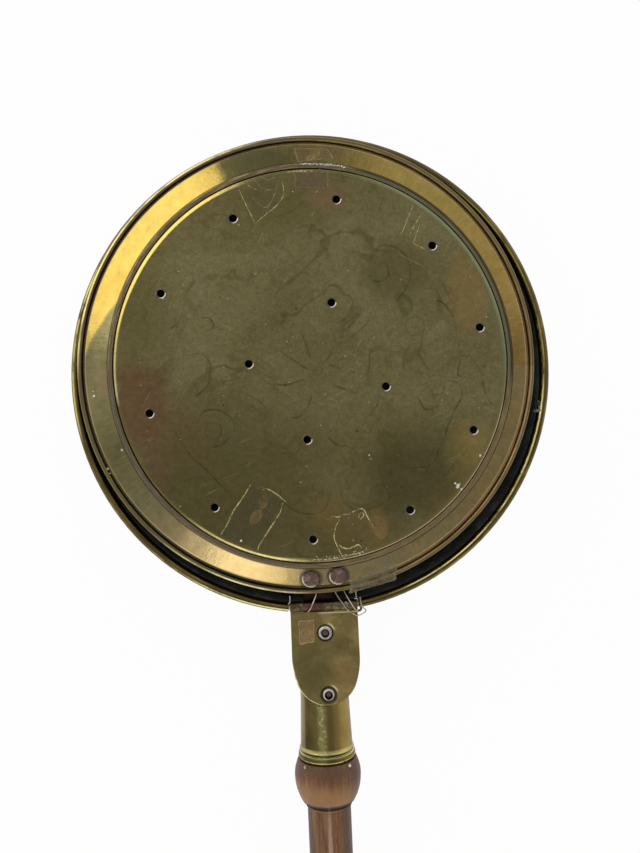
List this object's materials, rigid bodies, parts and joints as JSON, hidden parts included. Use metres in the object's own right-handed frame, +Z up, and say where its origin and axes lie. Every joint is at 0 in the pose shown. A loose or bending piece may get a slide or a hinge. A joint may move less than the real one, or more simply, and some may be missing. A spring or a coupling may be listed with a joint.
{
  "type": "bed warming pan",
  "caption": "Round brass pan for embers with a hinged, pierced and engraved lid, a conical socket and a long turned wooden handle, for warming a bed.",
  "frame": {"origin": "centre of the pan's flat base, on the surface that it stands on", "axes": "+Z up; the handle runs along -Y and rises 6 degrees; +X to the right when seen from the handle's end"},
  "size_m": [0.3, 1.0556, 0.1488],
  "materials": {
    "pan_brass": "satin, sooty inside",
    "band_brass": "polished, lightly tarnished",
    "panel_brass": "tarnished, engraved",
    "plate_brass": "tarnished",
    "socket_brass": "worn polish",
    "copper": "dull copper",
    "iron": "dark",
    "rusty_steel": "rusty",
    "blind_rivet": "satin",
    "tie_wire": "bright",
    "solder": "bright",
    "wood": "satin varnish"
  },
  "bodies": {
    "pan": {"pan_body": "pan_brass", "pan_rim_wire": "iron", "handle_bracket": "iron", "bracket_rivets": "copper", "ferrule": "socket_brass", "hinge_plate": "plate_brass", "plate_rivet_upper": "blind_rivet", "plate_rivet_lower": "blind_rivet", "rivet_stems": "rusty_steel", "hinge_pin": "tie_wire", "tie_wire_loop": "tie_wire", "tie_wire_corner": "tie_wire", "handle_shaft": "wood", "handle_nails": "tie_wire"},
    "lid": {"lid_band": "band_brass", "lid_rim_wire": "iron", "lid_panel": "panel_brass", "seam_solder": "solder", "hinge_strap": "copper", "lid_rivet_left": "copper", "lid_rivet_right": "copper", "strap_burrs": "copper", "tie_wire_strap": "tie_wire"}
  },
  "joints": [
    {"name": "lid_hinge", "type": "hinge", "parent": "pan", "child": "lid", "pos_m": [0.0021, -0.1459, 0.0731], "axis": [1, 0, 0], "range_deg": [0, 110]}
  ]
}
